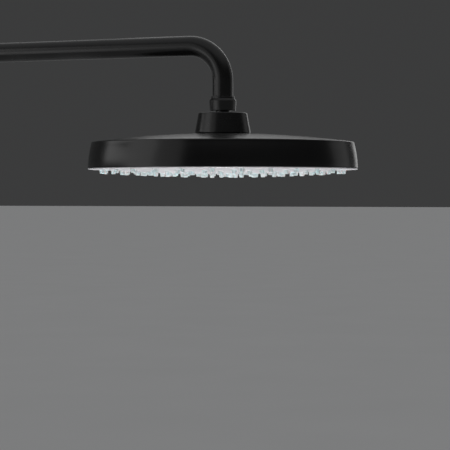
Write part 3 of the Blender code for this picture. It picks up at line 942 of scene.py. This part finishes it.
# ---------------------------------------------------------------- rain head, face
# The face is moulded in light grey plastic, bulges down a little and has a hole for every nozzle. Posts on
# its back take the screws, and its rim shows as a thin light line under the shell's wall.

FACE_EDGE = -1.3
FACE_FLAT = 118.0
FACE_BULGE = 4.0
FACE_THICKNESS = 2.2
POST_COUNT = 5
POST_RING = 101.75
NOZZLE_RINGS = 6
OUTER_RING = 112.0
NOZZLE_SPACING = 26.0
HOLE_RADIUS = 3.0


def joined(first, *others):
    """Puts separate pieces' meshes into the first piece, and removes the others."""
    builder = bmesh.new()
    for piece in (first, *others):
        builder.from_mesh(piece.data)
    builder.to_mesh(first.data)
    builder.free()
    for piece in others:
        bpy.data.objects.remove(piece)
    return first


def face(radius):
    """Height of the face's underside."""
    return FACE_EDGE - FACE_BULGE * (1 - (min(radius, FACE_FLAT) / FACE_FLAT) ** 2)


def pale_face():
    """Light grey moulding with a cool, faintly violet cast, and lime beginning to show in spots."""
    material, tree, surface = new_material("pale_face")
    grain = effect(tree, FINE_GRAIN, Grain_Size=0.0005)["Height"]
    hands = effect(tree, HANDLING, Patch_Size=0.05)
    spots = effect(tree, WATER_SPOTS, Spot_Size=0.005, Amount=0.18)["Mask"]
    shade = mix_colour(tree, hands["Patches"], (0.58, 0.575, 0.60, 1), (0.65, 0.645, 0.67, 1))
    limed = math_node(tree, "MULTIPLY", spots, 0.35)
    wire(tree, mix_colour(tree, limed, shade, grey(0.82)), surface["Base Color"])
    wire(tree, between(tree, hands["Streaks"], 0.34, 0.26), surface["Roughness"])
    wire(tree, bumped(tree, grain, 0.000008), surface["Normal"])
    return material


PALE_FACE = pale_face()
NOZZLE_PLACES = {
    "Rings": NOZZLE_RINGS,
    "Outer Radius": OUTER_RING * MM,
    "Spacing": NOZZLE_SPACING * MM,
    "Edge Height": FACE_EDGE * MM,
    "Bulge": FACE_BULGE * MM,
    "Flat Radius": FACE_FLAT * MM,
}


def ring_points_group():
    """Points on concentric rings, evenly spaced round each, on a face that bulges down.

    Odd rings have a point at the front, and even ones have a gap there."""
    tree, _, given, out = geometry_tree("ring_points", NOZZLE_PLACES, "Points")
    start = tree.nodes.new("GeometryNodeRepeatInput")
    stop = tree.nodes.new("GeometryNodeRepeatOutput")
    start.pair_with_output(stop)
    stop.repeat_items.new("FLOAT", "Ring")
    tree.links.new(given["Rings"], start.inputs["Iterations"])
    start.inputs["Ring"].default_value = 1.0
    ring = start.outputs["Ring"]
    share = math_node(tree, "DIVIDE", ring, given["Rings"])
    radius = math_node(tree, "MULTIPLY", share, given["Outer Radius"])
    around = math_node(tree, "MULTIPLY", radius, math.tau)
    count = math_node(tree, "ROUND", math_node(tree, "DIVIDE", around, given["Spacing"]))
    circle = node(tree, "GeometryNodeMeshCircle", {"Vertices": count, "Radius": radius})
    even = math_node(tree, "SUBTRACT", 1.0, math_node(tree, "MODULO", ring, 2.0))
    half_step = math_node(tree, "DIVIDE", math_node(tree, "MULTIPLY", even, math.pi), count)
    heading = math_node(tree, "SUBTRACT", half_step, math.pi / 2)
    spin = node(tree, "ShaderNodeCombineXYZ", {"Z": heading})
    spun = {"Geometry": circle.outputs["Mesh"], "Rotation": spin.outputs["Vector"]}
    turned_ring = node(tree, "GeometryNodeTransform", spun)
    join = tree.nodes.new("GeometryNodeJoinGeometry")
    tree.links.new(turned_ring.outputs["Geometry"], join.inputs["Geometry"])
    tree.links.new(start.outputs["Geometry"], join.inputs["Geometry"])
    tree.links.new(join.outputs["Geometry"], stop.inputs["Geometry"])
    tree.links.new(math_node(tree, "ADD", ring, 1.0), stop.inputs["Ring"])
    position = tree.nodes.new("GeometryNodeInputPosition").outputs["Position"]
    place = node(tree, "ShaderNodeSeparateXYZ", {"Vector": position}).outputs
    across = math_node(tree, "POWER", place["X"], 2.0)
    square = math_node(tree, "ADD", across, math_node(tree, "POWER", place["Y"], 2.0))
    flat_square = math_node(tree, "POWER", given["Flat Radius"], 2.0)
    rise = math_node(tree, "SUBTRACT", math_node(tree, "DIVIDE", square, flat_square), 1.0)
    height = math_node(tree, "ADD", given["Edge Height"], math_node(tree, "MULTIPLY", rise, given["Bulge"]))
    lift = node(tree, "ShaderNodeCombineXYZ", {"Z": height})
    lifted = {"Geometry": stop.outputs["Geometry"], "Offset": lift.outputs["Vector"]}
    moved = node(tree, "GeometryNodeSetPosition", lifted)
    wire(tree, moved.outputs["Geometry"], out["Points"])
    return tree


RING_POINTS = ring_points_group()


def repeated_tree():
    """One shape repeated at every ring point."""
    repeated = {"Shape": "NodeSocketObject", "Material": "NodeSocketMaterial"}
    tree, sockets, given, out = geometry_tree("repeated_on_rings", {**NOZZLE_PLACES, **repeated})
    rings = tree.nodes.new("GeometryNodeGroup")
    rings.node_tree = RING_POINTS
    for label in NOZZLE_PLACES:
        tree.links.new(given[label], rings.inputs[label])
    shape = node(tree, "GeometryNodeObjectInfo", {"Object": given["Shape"]})
    placed = {"Points": rings.outputs["Points"], "Instance": shape.outputs["Geometry"]}
    copies = node(tree, "GeometryNodeInstanceOnPoints", placed)
    dressed_output(tree, copies.outputs["Instances"], given, out)
    return tree, sockets


REPEATED, REPEATED_SOCKETS = repeated_tree()


def on_rings(name, shape, material, places=NOZZLE_PLACES, seat=HEAD_SEAT):
    """Copies of a shape at every place on its rings, set on the head, and the shape removed."""
    values = {**places, "Shape": shape, "Material": material}
    made = grown(name, REPEATED, REPEATED_SOCKETS, values, material)
    bpy.data.objects.remove(shape)
    made.data.transform(seat)
    return made


def post_seats():
    """Places of the posts behind the face, evenly round it."""
    seats = []
    for index in range(POST_COUNT):
        turn = Matrix.Rotation(math.tau * (index + 0.25) / POST_COUNT, 4, "Z")
        seats.append(HEAD_SEAT @ turn @ Matrix.Translation((POST_RING * MM, 0, 0)))
    return seats


def face_plate():
    radii = [FACE_FLAT * step / 40 for step in range(41)]
    below = [(radius, face(radius), 0) for radius in radii]
    rim = [(124.4, FACE_EDGE, 0.3), (125.0, -0.8, 0.3), (125.0, -0.3, 0.15)]
    skirt = [(121.9, -0.3, 0), (121.9, 5.0, 0.3), (118.9, 5.0, 0.3)]
    above = [(radius, face(radius) + FACE_THICKNESS, 0) for radius in reversed(radii)]
    plate = turned("face_plate", filleted(below + rim + skirt + above), PALE_FACE, HEAD_SEAT, 240)
    foot = face(POST_RING) + 1.0
    seats = post_seats()
    posts = [turned("post", rod(4.0, foot, 7.3), PALE_FACE, seat, 32) for seat in seats]
    cut(plate, joined(*posts), "UNION")
    drill = turned("drill", rod(HOLE_RADIUS, -2.0, 4.0), PALE_FACE, sides=24)
    drills = on_rings("drills", drill, PALE_FACE)
    pilots = [turned("pilot", rod(1.65, 2.4, 8.3), PALE_FACE, seat, 20) for seat in seats]
    cut(plate, joined(drills, *pilots))
    fitted(plate, "head", "face_white", "face_plate")


face_plate()

# ---------------------------------------------------------------- rain head, nozzles
# All nozzles and the sheet behind the face are one silicone moulding, milky and a little green-blue. Each
# nozzle is a short soft cone with a fine hole, so that lime can be rubbed off with a thumb.

NOZZLE_STAND = 3.4
SHEET_LIFT = FACE_THICKNESS + 0.3
SHEET_THICKNESS = 1.5


def milky_silicone():
    shades = (0.82, 0.95, 0.96, 1), (0.88, 0.98, 0.99, 1)
    material, surface = moulded("milky_silicone", *shades, 0.34, 0.0004, 0.000006, 0.01)
    surface["Subsurface Weight"].default_value = 0.35
    surface["Subsurface Radius"].default_value = (0.002, 0.0026, 0.0027)
    surface["Subsurface Scale"].default_value = 1.0
    return material


SILICONE = milky_silicone()


def nozzle_mat():
    root = SHEET_LIFT + 0.5 * SHEET_THICKNESS
    corners = [
        (0, -NOZZLE_STAND + 1.3, 0),
        (0.55, -NOZZLE_STAND + 1.3, 0),
        (0.6, -NOZZLE_STAND, 0.1),
        (1.95, -NOZZLE_STAND, 0.45),
        (2.3, -0.7, 0.5),
        (2.62, -0.1, 0.1),
        (2.62, root, 0),
        (0, root, 0),
    ]
    nozzle = turned("nozzle", filleted(corners), SILICONE, sides=20)
    nozzles = on_rings("nozzle_mat", nozzle, SILICONE)
    radii = [118.3 * step / 30 for step in range(31)]
    below = [(radius, face(radius) + SHEET_LIFT, 0) for radius in radii]
    above = [(radius, face(radius) + SHEET_LIFT + SHEET_THICKNESS, 0) for radius in reversed(radii)]
    sheet = turned("sheet", below + above, SILICONE, HEAD_SEAT, 180)
    holes = [turned("hole", rod(4.6, -3, 6), SILICONE, seat, 32) for seat in post_seats()]
    cut(sheet, joined(*holes))
    cut(nozzles, sheet, "UNION")
    fitted(nozzles, "head", "silicone", "nozzle_mat")


nozzle_mat()

# ---------------------------------------------------------------- rain head, inside
# The water chamber is moulded in grey plastic. Five steel screws hold it to the face's posts from behind and
# squeeze a rubber ring. None of it shows once the shell is on, but its neck carries the ball joint.

GREY_ABS, _ = moulded("grey_abs", (0.17, 0.175, 0.185, 1), (0.21, 0.215, 0.225, 1), 0.45, 0.0007, 0.00001)
dressed(GREY_ABS, "water_chamber")
dressed(RUBBER, "chamber_seal")


POST_PLACES = {
    **NOZZLE_PLACES,
    "Rings": 1,
    "Outer Radius": POST_RING * MM,
    "Spacing": math.tau * POST_RING * MM / POST_COUNT,
    "Edge Height": 0.0,
    "Bulge": 0.0,
}
POST_TURN = Matrix.Rotation(math.pi / POST_COUNT, 4, "Z")


def cross_blade(turn):
    """One blade of the cross that is punched into a screw's head, tapering to its point."""
    corners = [(0, 10.6, 0), (0.55, 10.6, 0), (1.25, 12.6, 0), (0, 12.6, 0)]
    narrow = Matrix.Diagonal((1.0, 0.3, 1.0, 1.0))
    return turned("blade", corners, STEEL, Matrix.Rotation(turn, 4, "Z") @ narrow, 4)


def face_screws():
    """Cross-recessed pan-head screws, one into each of the face's posts."""
    corners = [
        (0, 3.0, 0),
        (1.35, 3.0, 0.3),
        (1.35, 10.1, 0),
        (2.9, 10.1, 0.2),
        (2.9, 11.4, 0.6),
        (1.6, 12.2, 0.3),
        (0, 12.2, 0),
    ]
    screw = turned("screw", filleted(corners), STEEL, sides=40)
    for turn in (0.0, math.pi / 2):
        cut(screw, cross_blade(turn))
    screws = on_rings("face_screws", screw, STEEL, POST_PLACES, HEAD_SEAT @ POST_TURN)
    fitted(screws, "head", "steel", *(f"face_screw_{number + 1}" for number in range(POST_COUNT)))


face_screws()

# ---------------------------------------------------------------- studio
# A plain pale floor far below, dim walls and a bright ceiling. Soft boxes stand left of the arm, behind it
# and right of it, one lies under the head, and five strips stand round the riser. The camera is a little
# below the head's edge.

FLOOR_BELOW = 4.4
FLOOR_HALF = 500.0
CAMERA_TURN = -68.5
CAMERA_DISTANCE = 1.58
CAMERA_DROP = 0.0225
CAMERA_PITCH = -1.095
CAMERA_ROLL = -0.074
FOCAL_LENGTH = 136.0
WALL_GLOW = 0.045
CEILING_GLOW = 0.38
CEILING_EDGE = (0.35, 0.8)  # sine of the rise where the ceiling's glow starts, and where it is full
RISER_MIDDLE = Vector((RISER_AXIS.x, RISER_AXIS.y, -0.30))
RISER_STRIP_TURNS = (40, 110, 170, 245, 300)


def pale_floor():
    material, tree, surface = new_material("pale_floor")
    cloud = noise(tree, on_piece(tree), 0.4, 2.0)
    wire(tree, mix_colour(tree, cloud, grey(0.76), grey(0.80)), surface["Base Color"])
    surface["Roughness"].default_value = 0.8
    return material


def studio_floor():
    mesh = bpy.data.meshes.new("floor")
    ends = ((-1, -1), (1, -1), (1, 1), (-1, 1))
    corners = [(FLOOR_HALF * x, FLOOR_HALF * y, -FLOOR_BELOW) for x, y in ends]
    mesh.from_pydata(corners, [], [(0, 1, 2, 3)])
    finished("floor", mesh, pale_floor())


def studio_room():
    """Dim all round and bright overhead."""
    world = bpy.data.worlds.new("studio")
    bpy.context.scene.world = world
    world.use_nodes = True
    tree = world.node_tree
    way = node(tree, "ShaderNodeTexCoord").outputs["Generated"]
    height = node(tree, "ShaderNodeSeparateXYZ", {"Vector": way}).outputs["Z"]
    glow = between(tree, height, WALL_GLOW, CEILING_GLOW, *CEILING_EDGE)
    glow.node.interpolation_type = "SMOOTHSTEP"
    wire(tree, glow, tree.nodes["Background"].inputs["Strength"])
    tree.nodes["Background"].inputs["Color"].default_value = grey(1.0, (0.98, 0.99, 1.0))


def heading(turn, rise=0.0):
    """A direction from the object: turn 0 is towards -Y, and positive turns go towards +X."""
    around, up = math.radians(turn), math.radians(rise)
    return Vector((math.sin(around) * math.cos(up), -math.cos(around) * math.cos(up), math.sin(up)))


def soft_box(name, turn, rise, distance, size, brightness, spread=180, target=HEAD_AXIS):
    """An area light facing its target, with its turn counted from the camera.

    Brightness is its radiance before its spread is narrowed, which only gathers the same light."""
    data = bpy.data.lights.new(name, "AREA")
    data.shape = "RECTANGLE"
    data.size, data.size_y = size
    data.energy = brightness * math.pi * size[0] * size[1]
    data.spread = math.radians(spread)
    box = bpy.data.objects.new(name, data)
    direction = heading(CAMERA_TURN + turn, rise)
    box.location = target + direction * distance
    box.rotation_euler = direction.to_track_quat("Z", "Y").to_euler()
    bpy.context.scene.collection.objects.link(box)


def studio_camera():
    data = bpy.data.cameras.new("camera")
    data.lens = FOCAL_LENGTH
    data.clip_start, data.clip_end = 0.05, 2000.0
    camera = bpy.data.objects.new("camera", data)
    bpy.context.scene.collection.objects.link(camera)
    bpy.context.scene.camera = camera
    back = heading(CAMERA_TURN)
    head_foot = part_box("head_shell")[0].z
    camera.location = Vector((HEAD_AXIS.x, HEAD_AXIS.y, head_foot - CAMERA_DROP)) + back * CAMERA_DISTANCE
    level = back.to_track_quat("Z", "Y").to_matrix().to_4x4()
    pitch = Matrix.Rotation(math.radians(CAMERA_PITCH), 4, "X")
    roll = Matrix.Rotation(math.radians(CAMERA_ROLL), 4, "Y")
    camera.rotation_euler = (level @ pitch @ roll).to_euler()


studio_floor()
studio_room()
soft_box("left_rear_strip", -101.5, 10.5, 1.6, (0.8, 0.36), 0.95)
soft_box("left_soft_box", -73, 12, 1.6, (0.8, 1.0), 0.85)
soft_box("left_front_soft_box", -47, 10, 1.6, (0.74, 1.1), 0.38)
soft_box("left_low_soft_box", -59, -12, 1.7, (0.5, 0.6), 0.8)
soft_box("right_strip", 118, 10, 1.7, (0.8, 1.4), 0.24)
soft_box("right_rear_strip", 160, 10, 1.7, (0.6, 1.0), 0.70)
soft_box("rear_panel", 172, 22, 1.8, (0.9, 0.5), 0.60)
soft_box("high_rear_panel", 180, 40, 1.8, (1.6, 0.5), 0.50)
soft_box("panel_under_head", 0, -90, 1.0, (0.34, 0.34), 1.4, 30)
for number, turn in enumerate(RISER_STRIP_TURNS, start=1):
    soft_box(f"riser_strip_{number}", turn, 0, 1.5, (0.25, 0.5), 0.06, 18, RISER_MIDDLE)
studio_camera()
bpy.context.scene.view_settings.view_transform = "Standard"
